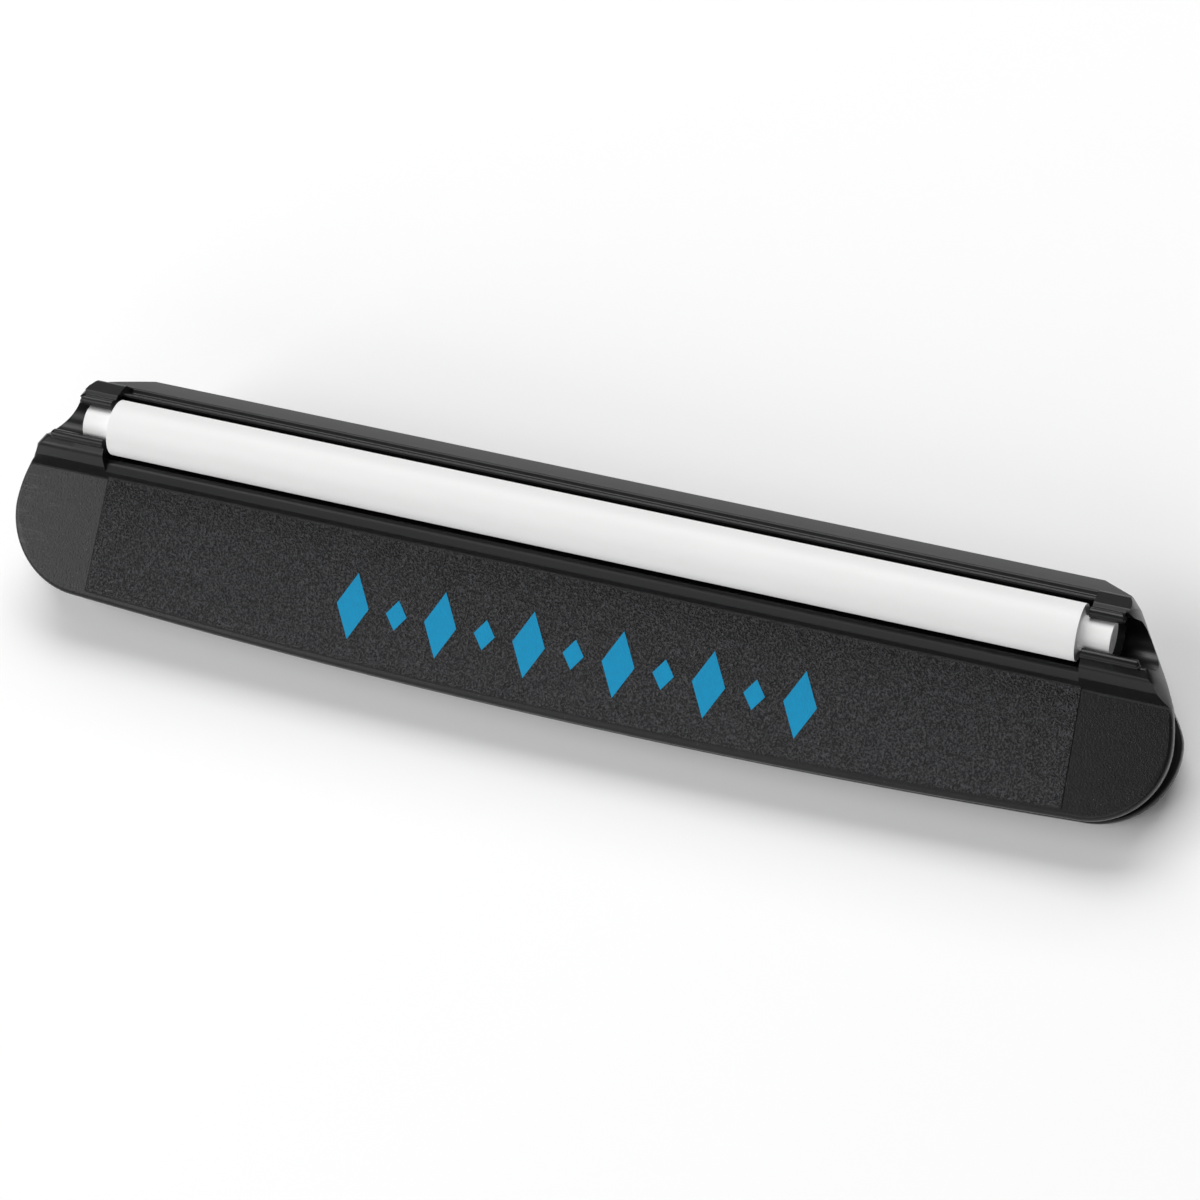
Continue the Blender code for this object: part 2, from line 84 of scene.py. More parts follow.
PIN_Z = 22.2
PIN_RADIUS = 0.6
PIN_HALF = 50.5
PIN_TIP_RADIUS = 0.45
PIN_TIP_LENGTH = 0.15
PIN_HOLE_RADIUS = 0.7
PIN_STOP = 51.0
PIN_HOLE_MOUTH = -56.0
KNUCKLE_RADIUS = 1.5
KNUCKLE_POCKET_RADIUS = 1.75
KNUCKLE_POCKET_HALF = 51.2
CREST_GAP = 0.25
CREST_EDGE = (4.3, 23.1)
CREST_ARC_RADIUS = 60.0
CREST_SLOPE = 21.8
CREST_UNDERSIDE_Z = 20.95
FRONT_KNUCKLES = [(-50.5, -43.5), (-4.5, 4.5), (43.5, 50.5)]
REAR_KNUCKLES = [(-42.9, -34.9), (-13.1, -5.1), (5.1, 13.1), (34.9, 42.9)]

SPRING_CENTRE = 24.5
SPRING_WIDTH = 18.0
SPRING_THICKNESS = 0.5
SPRING_BEND = 1.2
SPRING_NECK_Z = 20.0
SPRING_TIP_Z = 8.6
SPRING_EDGE = 0.08
SPRING_GAP = 0.1
RECESS_SIDE_GAP = 0.4
RECESS_DEPTH = SPRING_THICKNESS + 2 * SPRING_GAP
RECESS_BOTTOM_Z = 8.1
KEEPER_LOW_Z = 9.3
KEEPER_HIGH_Z = 10.5
KEEPER_PROUD = 0.6
KEEPER_OVERLAP = 1.2
KEEPER_ROOT = 0.3

WALL_U = 2.3
CHAMBER_U = 2.95
CHAMBER_LOW_Z = 12.8
CHAMBER_HIGH_Z = 14.6
WALL_LOW_Z = 16.2
INNER_SLOPE = 0.144

PANEL_TOP = (4.75, 13.6)
PANEL_FOOT = (2.78, 0.0)
PANEL_SLOPE = (PANEL_TOP[0] - PANEL_FOOT[0]) / PANEL_TOP[1]
BELOW_Z = -3.0
RIM_RADIUS = 0.5

BLOCK_Z = (13.2, 15.2)
END_DRAFT = 0.17
DRAFT_U = 3.8
REAR_BLOCK_INSET = 1.2
REAR_INSET_Z = (10.5, 15.2)

PAD_HALF = 46.0
PAD_LOW_Z = 1.7
PAD_HIGH_Z = 6.9
PAD_FACE_U = 0.15
PAD_SUNK = 0.3
PAD_GAP = 0.1
PAD_GROOVE_HEIGHTS = (5.9, 5.1, 4.3, 3.5)
PAD_GROOVE_HALF = 0.16
PAD_GROOVE_DEPTH = 0.14

MARK_COUNT = 11
MARK_START = -22.5
MARK_ROW = 46.5
MARK_MIDDLE_Z = 6.45
# Half the width and half the height of a lozenge.
LARGE_MARK = (1.7, 3.3)
SMALL_MARK = (1.1, 1.5)
MARK_PROUD = 0.012
MARK_SUNK = 0.05

FRONT = -1
REAR = 1


def to_world():
    """The upright axes, in millimetres, laid on the frame by its hinge and front panel."""
    hinge = next(j["pos_m"] for j in frame["joints"] if j["name"] == "jaw_hinge")
    panel = next(m["axis"] for m in frame["record"]["mounts"] if m["name"] == "front_panel_face")
    drawn = math.atan2(-PANEL_SLOPE, -1.0)
    turn = math.atan2(panel[2], panel[1]) - drawn
    place = Matrix.Translation(Vector(hinge)) @ Matrix.Rotation(turn, 4, "X")
    return place @ Matrix.Translation((0.0, 0.0, -PIN_Z * MM))


TO_WORLD = to_world()


# Outlines. A corner is (u, z), or (u, z, radius) where rounded() is to round it.


def arc(centre, radius, start, end, steps):
    points = []
    for i in range(steps + 1):
        angle = math.radians(start + (end - start) * i / steps)
        points.append((centre[0] + radius * math.cos(angle), centre[1] + radius * math.sin(angle)))
    return points


def fillet(before, corner, after, radius, steps):
    """Points of the arc that rounds a corner between its two neighbours."""
    here = Vector(corner)
    back = (Vector(before) - here).normalized()
    on = (Vector(after) - here).normalized()
    half = math.acos(max(-1.0, min(1.0, back.dot(on)))) / 2
    centre = here + (back + on).normalized() * (radius / math.sin(half))
    reach = radius / math.tan(half)
    first = here + back * reach - centre
    last = here + on * reach - centre
    turn = (math.pi - 2 * half) / steps
    if first.x * last.y - first.y * last.x < 0:
        turn = -turn
    return [tuple(centre + Matrix.Rotation(turn * i, 2) @ first) for i in range(steps + 1)]


def rounded(corners, steps=6):
    """An outline with each corner that carries a radius rounded."""
    outline = []
    count = len(corners)
    for i, corner in enumerate(corners):
        if len(corner) == 2:
            outline.append(tuple(corner))
            continue
        before = corners[i - 1][:2]
        after = corners[(i + 1) % count][:2]
        outline.extend(fillet(before, corner[:2], after, corner[2], steps))
    return outline


def inner_u(z):
    """How far from the mid-plane the jaw's inner wall stands at a height."""
    if z >= WALL_LOW_Z:
        return WALL_U
    if z >= CHAMBER_HIGH_Z:
        share = (z - CHAMBER_HIGH_Z) / (WALL_LOW_Z - CHAMBER_HIGH_Z)
        return CHAMBER_U + share * (WALL_U - CHAMBER_U)
    if z >= CHAMBER_LOW_Z:
        return CHAMBER_U
    return CHAMBER_U - INNER_SLOPE * (CHAMBER_LOW_Z - z)


def roof():
    """The crest's nearly flat slope, from its outer edge to the slit between the jaws."""
    radius = CREST_ARC_RADIUS
    slope = math.radians(CREST_SLOPE)
    edge = CREST_EDGE
    centre = (edge[0] - radius * math.sin(slope), edge[1] - radius * math.cos(slope))
    slit_angle = math.degrees(math.acos((CREST_GAP - centre[0]) / radius))
    points = arc(centre, radius, 90.0 - CREST_SLOPE, slit_angle, 8)
    return [(*points[0], 0.3)] + points[2:-1] + [(*points[-1], 0.15)]


def inside():
    """The jaw's inner side, from the slit down past its free edge."""
    return [
        (CREST_GAP, CREST_UNDERSIDE_Z, 0.15),
        (WALL_U, 20.4, 0.4),
        (WALL_U, WALL_LOW_Z, 0.4),
        (CHAMBER_U, CHAMBER_HIGH_Z, 0.6),
        (CHAMBER_U, CHAMBER_LOW_Z, 0.6),
        (inner_u(BELOW_Z), BELOW_Z),
    ]


def panel():
    """The outer panel, from below the outline's cut up to the cove under the lip."""
    return [(PANEL_FOOT[0] + PANEL_SLOPE * BELOW_Z, BELOW_Z), (*PANEL_TOP, 0.3)]


def jaw_section(outside):
    return rounded(panel() + outside + roof() + inside())


def groove_section():
    """The jaw between its ends, with the groove that half encloses the rod."""
    lip_u = 6.56
    opening = math.degrees(math.acos((lip_u - ROD_U) / GROOVE_RADIUS))
    groove = arc((ROD_U, ROD_Z), GROOVE_RADIUS, 360.0 - opening, opening, 40)
    corners = [(6.2, 14.2, 0.3), (6.62, 15.0, 0.6)]
    corners += [(*groove[0], 0.2)] + groove[1:-1] + [(*groove[-1], 0.06)]
    corners += [(6.5, 22.25, 0.2), (4.42, 22.45, 0.3)]
    return jaw_section(corners)


def finger(side):
    """The middle of a snap finger's round lip, above (1) or below (-1) the rod."""
    reach = SEAT_RADIUS + FINGER_RADIUS
    angle = math.radians(FINGER_ANGLE) * side
    return (ROD_U + reach * math.cos(angle), ROD_Z + reach * math.sin(angle))


def end_block_section(hollow):
    """The jaw at its ends: what lies between the two blocks is given."""
    lower_block = [(6.9, 14.5, 0.6), (8.15, 15.45, 0.8)]
    upper_block = [(7.95, 21.3, 0.15), (7.8, 21.75, 0.3), (6.3, 23.02, 0.7)]
    return jaw_section(lower_block + hollow + upper_block)


def seat_section():
    """Where two snap fingers hold the rod's journal."""
    corners = [(8.2, 16.3)]
    corners += arc(finger(-1), FINGER_RADIUS, -125.0, 180.0 - FINGER_ANGLE, 16)
    corners += arc((ROD_U, ROD_Z), SEAT_RADIUS, 360.0 - FINGER_ANGLE, FINGER_ANGLE, 30)[1:-1]
    corners += arc(finger(1), FINGER_RADIUS, FINGER_ANGLE - 180.0, 125.0, 16)
    return end_block_section(corners)


def scoop_section():
    """The jaw's tip, with a scoop between its two blocks."""
    corners = [(8.15, 16.6, 0.3)]
    for u, z in arc((0.0, 0.0), 1.0, 270.0, 115.0, 30):
        corners.append((SCOOP_CENTRE[0] + SCOOP_DEEP * u, SCOOP_CENTRE[1] + SCOOP_HIGH * z))
    corners += [(7.4, 21.0, 0.2)]
    return end_block_section(corners)


def end_outline():
    """The right half of the jaw's face as (x, z): a barely curved free edge, a round corner
    and a flank that leans in to a mitred crest."""
    bottom_radius = 900.0
    corner_radius = 8.0
    corner = (HALF_LENGTH - corner_radius, 9.5)
    flank_radius = 13.8
    flank = (HALF_LENGTH - flank_radius, 9.0)
    points = []
    steps = 24
    for i in range(steps):
        x = corner[0] * i / steps
        points.append((x, bottom_radius - math.sqrt(bottom_radius**2 - x**2)))
    points += arc(corner, corner_radius, -90.0, 0.0, 24)
    points += arc(flank, flank_radius, 4.0, 32.0, 12)
    points += [(54.35, 22.05, 1.2), (53.1, 23.35, 1.0), (47.84, 26.0)]
    return rounded(points)


def whole_outline():
    right = end_outline()
    return right + [(-x, z) for x, z in reversed(right[1:])]


# Solids.


def new_object(name, work):
    """Turns a bmesh into an object of the scene."""
    bmesh.ops.recalc_face_normals(work, faces=work.faces)
    mesh = bpy.data.meshes.new(name)
    work.to_mesh(mesh)
    work.free()
    obj = bpy.data.objects.new(name, mesh)
    bpy.context.scene.collection.objects.link(obj)
    return obj


def skinned(name, loops):
    """A closed solid through loops of points (x, y, z), each with the same count."""
    work = bmesh.new()
    rings = [[work.verts.new(Vector(point) * MM) for point in loop] for loop in loops]
    count = len(rings[0])
    for first, second in zip(rings, rings[1:]):
        for i in range(count):
            j = (i + 1) % count
            work.faces.new((first[i], first[j], second[j], second[i]))
    work.faces.new(list(reversed(rings[0])))
    work.faces.new(rings[-1])
    return new_object(name, work)


def along_x(name, outline, side, low, high):
    """One jaw's section (u, z) drawn out along x."""
    return skinned(name, [[(x, side * u, z) for u, z in outline] for x in (low, high)])


def turned(name, profile, centre, steps):
    """A closed solid turned about x from points (x, radius), at a centre (y, z)."""
    circles = [(x, arc(centre, radius, 0.0, 360.0, steps)[:-1]) for x, radius in profile]
    return skinned(name, [[(x, y, z) for y, z in circle] for x, circle in circles])


def round_bar(name, radius, low, high):
    """A cylinder on the hinge's axis."""
    return turned(name, [(low, radius), (high, radius)], (0.0, PIN_Z), 48)


def combine(target, tool, operation):
    """Applies an exact Boolean and removes its tool."""
    step = target.modifiers.new("combine", "BOOLEAN")
    step.operation = operation
    step.solver = "EXACT"
    step.object = tool
    graph = bpy.context.evaluated_depsgraph_get()
    result = bpy.data.meshes.new_from_object(target.evaluated_get(graph))
    target.modifiers.clear()
    target.data = result
    bpy.data.objects.remove(tool, do_unlink=True)


def smooth(obj, angle=32.0):
    """Smooth shading, with edges sharper than the angle kept and flats kept flat."""
    obj.data.shade_smooth()
    obj.data.set_sharp_from_angle(angle=math.radians(angle))
    weighted = obj.modifiers.new("weighted", "WEIGHTED_NORMAL")
    weighted.mode = "FACE_AREA"
    weighted.weight = 100
    weighted.keep_sharp = True


def interpolate(z, table):
    """The value at a height, from a table of (height, value) in rising order."""
    if z <= table[0][0]:
        return table[0][1]
    for low, high in zip(table, table[1:]):
        if z <= high[0]:
            return low[1] + (high[1] - low[1]) * (z - low[0]) / (high[0] - low[0])
    return table[-1][1]


def panel_u(z):
    return PANEL_FOOT[0] + (PANEL_TOP[0] - PANEL_FOOT[0]) * z / PANEL_TOP[1]


def fade(z, span):
    """0 below a span of heights, 1 above it, and smooth between."""
    share = min(1.0, max(0.0, (z - span[0]) / (span[1] - span[0])))
    return share * share * (3.0 - 2.0 * share)


def outline_normals(outline):
    """The outward direction at each point of a closed outline."""
    normals = []
    for i in range(len(outline)):
        before = Vector(outline[i - 1])
        after = Vector(outline[(i + 1) % len(outline)])
        run = (after - before).normalized()
        normals.append(Vector((run.y, -run.x)))
    return normals


def inner_edge(z):
    """Where the jaw's material starts at its end, and how round that edge is."""
    low_u = [(0.0, inner_u(0.0)), (CHAMBER_LOW_Z, CHAMBER_U), (13.4, WALL_U)]
    low_u += [(20.4, WALL_U), (CREST_UNDERSIDE_Z, CREST_GAP)]
    return interpolate(z, low_u), interpolate(z, [(12.0, 0.4), (13.4, 0.08)])


def outer_edge(z):
    """Where the outer edge's rounding starts, how far it runs outwards, and how far in: a
    plain round rim on the panel, and long rounded shoulders on the end blocks."""
    low = BLOCK_Z[0]
    start = [(0.0, panel_u(0.0) - RIM_RADIUS), (low, panel_u(low) - RIM_RADIUS)]
    start += [(14.8, 3.4), (17.4, 3.4), (20.4, 4.4)]
    run = [(low, RIM_RADIUS), (14.8, 4.75), (17.4, 4.75), (20.4, 3.75)]
    inset = [(low, RIM_RADIUS), (14.4, 2.8), (14.9, 2.8), (15.7, 1.3), (17.4, 1.3)]
    inset += [(20.4, 1.4), (21.8, 1.4), (23.0, 0.05)]
    return interpolate(z, start), interpolate(z, run), interpolate(z, inset)


def edge_places(z):
    """The jaw's end edge at a height, from inside out: points (u, inset)."""
    low, inner = inner_edge(z)
    start, run, inset = outer_edge(z)
    places = []
    for angle in range(84, -1, -12):
        turn = math.radians(angle)
        places.append((low + inner * (1.0 - math.sin(turn)), inner * (1.0 - math.cos(turn))))
    for angle in range(0, 85, 12):
        turn = math.radians(angle)
        places.append((start + run * math.sin(turn), inset * (1.0 - math.cos(turn))))
    beyond = 0.03
    clear = 15.0
    first = (low - beyond, places[0][1] + 0.6 * inner)
    last = (start + run + beyond, places[-1][1] + 0.5 * min(inset, RIM_RADIUS))
    return [(-clear, first[1]), first] + places + [last, (clear, last[1])]


def outline_tool(side):
    """The outline as a solid through one jaw, with the jaw's end edges rounded. The ends
    taper inwards at block height, and the rear jaw's blocks stand a little further in."""
    outline = whole_outline()
    rings = []
    for point, normal in zip(outline, outline_normals(outline)):
        x, z = point
        draft = END_DRAFT * fade(z, BLOCK_Z)
        shift = REAR_BLOCK_INSET * fade(z, REAR_INSET_Z) if side == REAR else 0.0
        ring = []
        for u, inset in edge_places(z):
            taper = draft * min(DRAFT_U, max(0.0, DRAFT_U - u))
            moved = Vector(point) - normal * (inset + taper)
            if abs(x) > SEAT_END / 2:
                moved.x -= math.copysign(shift, x)
            ring.append((moved.x, side * u, moved.y))
        rings.append(ring)
    return skinned("outline", list(zip(*rings)))


def spring_recess():
    """The slot of a spring's leg, which leaves the keeper bar standing across it."""
    outline = [(0.0, 23.0), (1.35, 23.0)]
    for z in (20.7, WALL_LOW_Z, CHAMBER_HIGH_Z, CHAMBER_LOW_Z, RECESS_BOTTOM_Z):
        outline.append((inner_u(z) + RECESS_DEPTH, z))
    outline += [(0.0, RECESS_BOTTOM_Z), (0.0, KEEPER_LOW_Z)]
    outline += [(inner_u(KEEPER_LOW_Z), KEEPER_LOW_Z), (inner_u(KEEPER_HIGH_Z), KEEPER_HIGH_Z)]
    outline += [(0.0, KEEPER_HIGH_Z)]
    return outline


def keeper_section():
    corners = [
        (inner_u(KEEPER_LOW_Z) + KEEPER_ROOT, KEEPER_LOW_Z),
        (inner_u(KEEPER_HIGH_Z) + KEEPER_ROOT, KEEPER_HIGH_Z),
        (inner_u(KEEPER_HIGH_Z) - KEEPER_PROUD, KEEPER_HIGH_Z, 0.25),
        (inner_u(KEEPER_LOW_Z) - KEEPER_PROUD, KEEPER_LOW_Z, 0.25),
    ]
    return rounded(corners, 4)


def pad_recess_section():
    return [
        (inner_u(PAD_LOW_Z) + PAD_SUNK + PAD_GAP, PAD_LOW_Z - PAD_GAP),
        (inner_u(PAD_HIGH_Z) + PAD_SUNK + PAD_GAP, PAD_HIGH_Z + PAD_GAP),
        (0.0, PAD_HIGH_Z + PAD_GAP),
        (0.0, PAD_LOW_Z - PAD_GAP),
    ]


def bead(side, up, low, high, end):
    """The round lip of a snap finger run on past its seat, a hair thinner than the finger. Its
    outer end is a dome that stops just short of its pole."""
    u, z = finger(up)
    radius = FINGER_RADIUS - 0.01
    steps_to_pole = 6.3
    dome = []
    for i in range(7):
        angle = math.radians(90.0 * i / steps_to_pole)
        dome.append((high - radius + radius * math.sin(angle), radius * math.cos(angle)))
    profile = [(low, radius)] + dome
    profile = [(end * x, r) for x, r in profile]
    return turned("bead", profile, (side * u, z), 24)


def make_jaw(name, side, knuckles):
    """One jaw: its sections, cut to the outline, then the hinge, springs and pad inside."""
    jaw = along_x(name, groove_section(), side, -GROOVE_END, GROOVE_END)
    for end in (-1, 1):
        seat = sorted((end * GROOVE_END, end * SEAT_END))
        tip = sorted((end * SEAT_END, end * PAST_THE_END))
        combine(jaw, along_x("seat", seat_section(), side, *seat), "UNION")
        combine(jaw, along_x("tip", scoop_section(), side, *tip), "UNION")
        root = SEAT_END - BEAD_ROOT
        combine(jaw, bead(side, -1, root, BEAD_END, end), "UNION")
        combine(jaw, bead(side, 1, root, SEAT_END + BEAD_ROOT, end), "UNION")
    combine(jaw, outline_tool(side), "INTERSECT")
    pocket = KNUCKLE_POCKET_HALF
    combine(jaw, round_bar("pocket", KNUCKLE_POCKET_RADIUS, -pocket, pocket), "DIFFERENCE")
    for end in (-1, 1):
        half = SPRING_WIDTH / 2 + RECESS_SIDE_GAP
        low = end * SPRING_CENTRE - half
        high = end * SPRING_CENTRE + half
        bar = along_x("keeper", keeper_section(), side, low - KEEPER_OVERLAP, high + KEEPER_OVERLAP)
        combine(jaw, bar, "UNION")
        combine(jaw, along_x("recess", spring_recess(), side, low, high), "DIFFERENCE")
    pad_half = PAD_HALF + PAD_GAP
    combine(jaw, along_x("pad", pad_recess_section(), side, -pad_half, pad_half), "DIFFERENCE")
    web = [(0.0, 21.2), (2.5, 21.2), (2.5, 23.5), (0.0, 23.5)]
    for low, high in knuckles:
        combine(jaw, round_bar("knuckle", KNUCKLE_RADIUS, low, high), "UNION")
        combine(jaw, along_x("web", web, side, low, high), "UNION")
    bore_start = PIN_HOLE_MOUTH if side == FRONT else -pocket
    combine(jaw, round_bar("bore", PIN_HOLE_RADIUS, bore_start, PIN_STOP), "DIFFERENCE")
    smooth(jaw)
    return jaw


def quarter(x, radius, steps=6):
    """A rounded edge from a flat end at x to a cylinder, as points (x, radius)."""
    points = []
    for i in range(steps + 1):
        angle = math.radians(90.0 * i / steps)
        along = x - ROD_EDGE * (1.0 - math.cos(math.radians(90.0) - angle))
        points.append((along, radius - ROD_EDGE + ROD_EDGE * math.sin(angle)))
    return points


def make_rod(name, side):
    """A ceramic rod with a journal at each end and a small fillet where they meet."""
    half = quarter(JOURNAL_HALF, JOURNAL_RADIUS)
    half.append((ROD_HALF + 0.12, JOURNAL_RADIUS))
    half.append((ROD_HALF + 0.03, JOURNAL_RADIUS + 0.03))
    half.append((ROD_HALF, JOURNAL_RADIUS + 0.12))
    half += quarter(ROD_HALF, ROD_RADIUS)
    profile = [(-x, r) for x, r in half] + list(reversed(half))
    rod = turned(name, profile, (side * ROD_U, ROD_Z), 96)
    smooth(rod)
    return rod


def spring_path():
    """The middle line of one spring leg, from its tip up to the top of the fold."""
    sunk = SPRING_GAP + SPRING_THICKNESS / 2
    heights = (SPRING_TIP_Z, CHAMBER_LOW_Z, CHAMBER_HIGH_Z, WALL_LOW_Z)
    points = [(inner_u(z) + sunk, z) for z in heights]
    neck = (WALL_U + sunk, SPRING_NECK_Z)
    fold = arc((0.0, PIN_Z), SPRING_BEND, 30.0, 90.0, 16)
    leg = [points[0]]
    for before, corner, after in zip(points, points[1:], points[2:] + [neck]):
        leg += fillet(before, corner, after, 0.9, 5)
    leg += fillet(leg[-1], neck, fold[0], 0.8, 6)
    return leg + fold


def make_spring(name, centre_x):
    """A strip of spring steel folded over the pin, half its thickness to each side of its
    path, with lightly rounded edges."""
    half = spring_path()
    path = [Vector(point) for point in half] + [Vector((-u, z)) for u, z in reversed(half[:-1])]
    outer = []
    inner = []
    for i, here in enumerate(path):
        run = (path[min(i + 1, len(path) - 1)] - path[max(i - 1, 0)]).normalized()
        normal = Vector((run.y, -run.x)) * (SPRING_THICKNESS / 2)
        outer.append(here + normal)
        inner.append(here - normal)
    low = centre_x - SPRING_WIDTH / 2
    outline = [tuple(p) for p in outer + list(reversed(inner))]
    spring = along_x(name, outline, REAR, low, low + SPRING_WIDTH)
    edge = spring.modifiers.new("edge", "BEVEL")
    edge.width = SPRING_EDGE * MM
    edge.segments = 2
    edge.limit_method = "ANGLE"
    edge.angle_limit = math.radians(50.0)
    smooth(spring)
    return spring


def make_pin():
    profile = [(-PIN_HALF, PIN_TIP_RADIUS), (-PIN_HALF + PIN_TIP_LENGTH, PIN_RADIUS)]
    profile += [(PIN_HALF - PIN_TIP_LENGTH, PIN_RADIUS), (PIN_HALF, PIN_TIP_RADIUS)]
    pin = turned("steel_hinge_pin", profile, (0.0, PIN_Z), 40)
    smooth(pin)
    return pin


def make_pad(name, side):
    """A rubber strip with shallow grooves along its gripping face."""
    corners = [
        (inner_u(PAD_LOW_Z) + PAD_SUNK, PAD_LOW_Z),
        (inner_u(PAD_HIGH_Z) + PAD_SUNK, PAD_HIGH_Z),
        (PAD_FACE_U + 0.3, PAD_HIGH_Z, 0.12),
        (PAD_FACE_U, PAD_HIGH_Z - 0.3, 0.12),
    ]
    for z in PAD_GROOVE_HEIGHTS:
        corners.append((PAD_FACE_U, z + PAD_GROOVE_HALF))
        corners.append((PAD_FACE_U + PAD_GROOVE_DEPTH, z))
        corners.append((PAD_FACE_U, z - PAD_GROOVE_HALF))
    corners += [(PAD_FACE_U, PAD_LOW_Z + 0.9, 0.3), (PAD_FACE_U + 0.6, PAD_LOW_Z, 0.15)]
    pad = along_x(name, rounded(corners, 4), side, -PAD_HALF, PAD_HALF)
    smooth(pad, 25.0)
    return pad


def make_marks():
    """A plain printed row of lozenges on the front panel, a hair proud of the plastic."""
    work = bmesh.new()
    middle = MARK_MIDDLE_Z
    for i in range(MARK_COUNT):
        x = MARK_START + MARK_ROW * i / (MARK_COUNT - 1)
        wide, tall = SMALL_MARK if i % 2 else LARGE_MARK
        corners = [(x - wide, middle), (x, middle - tall), (x + wide, middle), (x, middle + tall)]
        low = [work.verts.new(Vector((a, -panel_u(b) + MARK_SUNK, b)) * MM) for a, b in corners]
        high = [work.verts.new(Vector((a, -panel_u(b) - MARK_PROUD, b)) * MM) for a, b in corners]
        work.faces.new(low)
        work.faces.new(high)
        for j in range(4):
            k = (j + 1) % 4
            work.faces.new((low[j], low[k], high[k], high[j]))
    return new_object("front_print", work)


# Materials. Each one works in the upright axes, in metres, which every piece carries as an
# attribute of its points, so the pattern stays with the piece. A noise's scale is its turns
# per metre, as one number or along x, y and z.

UPRIGHT = "upright"

# Where the plastic's looks change. A lean or curve shapes a border, and each span across one
# runs from none of the look to all of it.
LEAN_OF_PANEL = -0.1447
PANEL_DEPTH = (0.0022, 0.0024)
UNDER_LIP_Z = (0.01385, 0.01355)
CURVE_OF_FOOT = -1.0 / 1.8
ABOVE_FOOT = (0.00065, 0.0009)
LEAN_OF_PATCH = 0.03
BETWEEN_PATCHES = (0.05092, 0.05080)
SCUFFED_END = (0.0525, 0.0590)
CREST_Z = (0.0229, 0.0233)


class Nodes:
    """A short way to wire one material's nodes."""

    def __init__(self, name):
        self.material = bpy.data.materials.new(name)
        self.material.use_nodes = True
        self.tree = self.material.node_tree
        self.shader = self.tree.nodes["Principled BSDF"]
        self.place = self.add("ShaderNodeAttribute", attribute_name=UPRIGHT).outputs["Vector"]

    def add(self, kind, **settings):
        node = self.tree.nodes.new(kind)
        for key, value in settings.items():
            setattr(node, key, value)
        return node

    def put(self, socket, value):
        if isinstance(value, bpy.types.NodeSocket):
            self.tree.links.new(value, socket)
        else:
            socket.default_value = value

    def math(self, operation, a, b=0.0, c=0.0):
        node = self.add("ShaderNodeMath", operation=operation)
        for socket, value in zip(node.inputs, (a, b, c)):
            self.put(socket, value)
        return node.outputs[0]

    def product(self, result, *others):
        for other in others:
            result = self.math("MULTIPLY", result, other)
        return result

    def step(self, value, low, high):
        """Rises smoothly from 0 at low to 1 at high."""
        node = self.add("ShaderNodeMapRange", interpolation_type="SMOOTHSTEP")
        for name, x in (("Value", value), ("From Min", low), ("From Max", high)):
            self.put(node.inputs[name], x)
        return node.outputs[0]

    def texture(self, kind, scale):
        mapping = self.add("ShaderNodeMapping")
        self.put(mapping.inputs["Vector"], self.place)
        if not isinstance(scale, tuple):
            scale = (scale, scale, scale)
        mapping.inputs["Scale"].default_value = scale
        node = self.add(kind)
        self.put(node.inputs["Vector"], mapping.outputs[0])
        node.inputs["Scale"].default_value = 1.0
        return node

    def noise(self, scale, detail=2.0, roughness=0.5, distortion=0.0):
        node = self.texture("ShaderNodeTexNoise", scale)
        node.inputs["Detail"].default_value = detail
        node.inputs["Roughness"].default_value = roughness
        node.inputs["Distortion"].default_value = distortion
        return node.outputs[0]

    def cells(self, scale):
        return self.texture("ShaderNodeTexVoronoi", scale).outputs["Distance"]

    def blend(self, share, first, second, kind="FLOAT"):
        node = self.add("ShaderNodeMix", data_type=kind)
        self.put(node.inputs["Factor"], share)
        self.put(node.inputs["A"], first)
        self.put(node.inputs["B"], second)
        return node.outputs["Result"]

    def tint(self, share, first, second):
        return self.blend(share, first, second, "RGBA")

    def bump(self, height, distance, normal=None, strength=1.0):
        node = self.add("ShaderNodeBump")
        node.inputs["Strength"].default_value = strength
        node.inputs["Distance"].default_value = distance
        self.put(node.inputs["Height"], height)
        if normal is not None:
            self.put(node.inputs["Normal"], normal)
        return node.outputs[0]


def grain_height(nodes):
    """A spark-eroded leather-like grain, cells about a fifth of a millimetre across."""
    cells = nodes.noise(5000.0, 1.0, 0.5, 0.4)
    fine = nodes.noise(11000.0, 1.0, 0.5)
    return nodes.math("MULTIPLY_ADD", fine, 0.35, cells)


def plastic_areas(nodes):
    """Shares of the outer panels, of their grained part, of the left end and of the crest."""
    split = nodes.add("ShaderNodeSeparateXYZ")
    nodes.put(split.inputs[0], nodes.place)
    x, y, z = split.outputs
    wide = nodes.math("ABSOLUTE", x)
    deep = nodes.math("ABSOLUTE", y)
    outer = nodes.math("MULTIPLY_ADD", z, LEAN_OF_PANEL, deep)
    panel = nodes.product(nodes.step(outer, *PANEL_DEPTH), nodes.step(z, *UNDER_LIP_Z))
    foot = nodes.math("MULTIPLY_ADD", nodes.product(x, x), CURVE_OF_FOOT, z)
    patch = nodes.math("MULTIPLY_ADD", z, LEAN_OF_PATCH, wide)
    inner = nodes.step(patch, *BETWEEN_PATCHES)
    grained = nodes.product(panel, nodes.step(foot, *ABOVE_FOOT), inner)
    left = nodes.step(nodes.product(x, -1.0), *SCUFFED_END)
    return panel, grained, left, nodes.step(z, *CREST_Z)


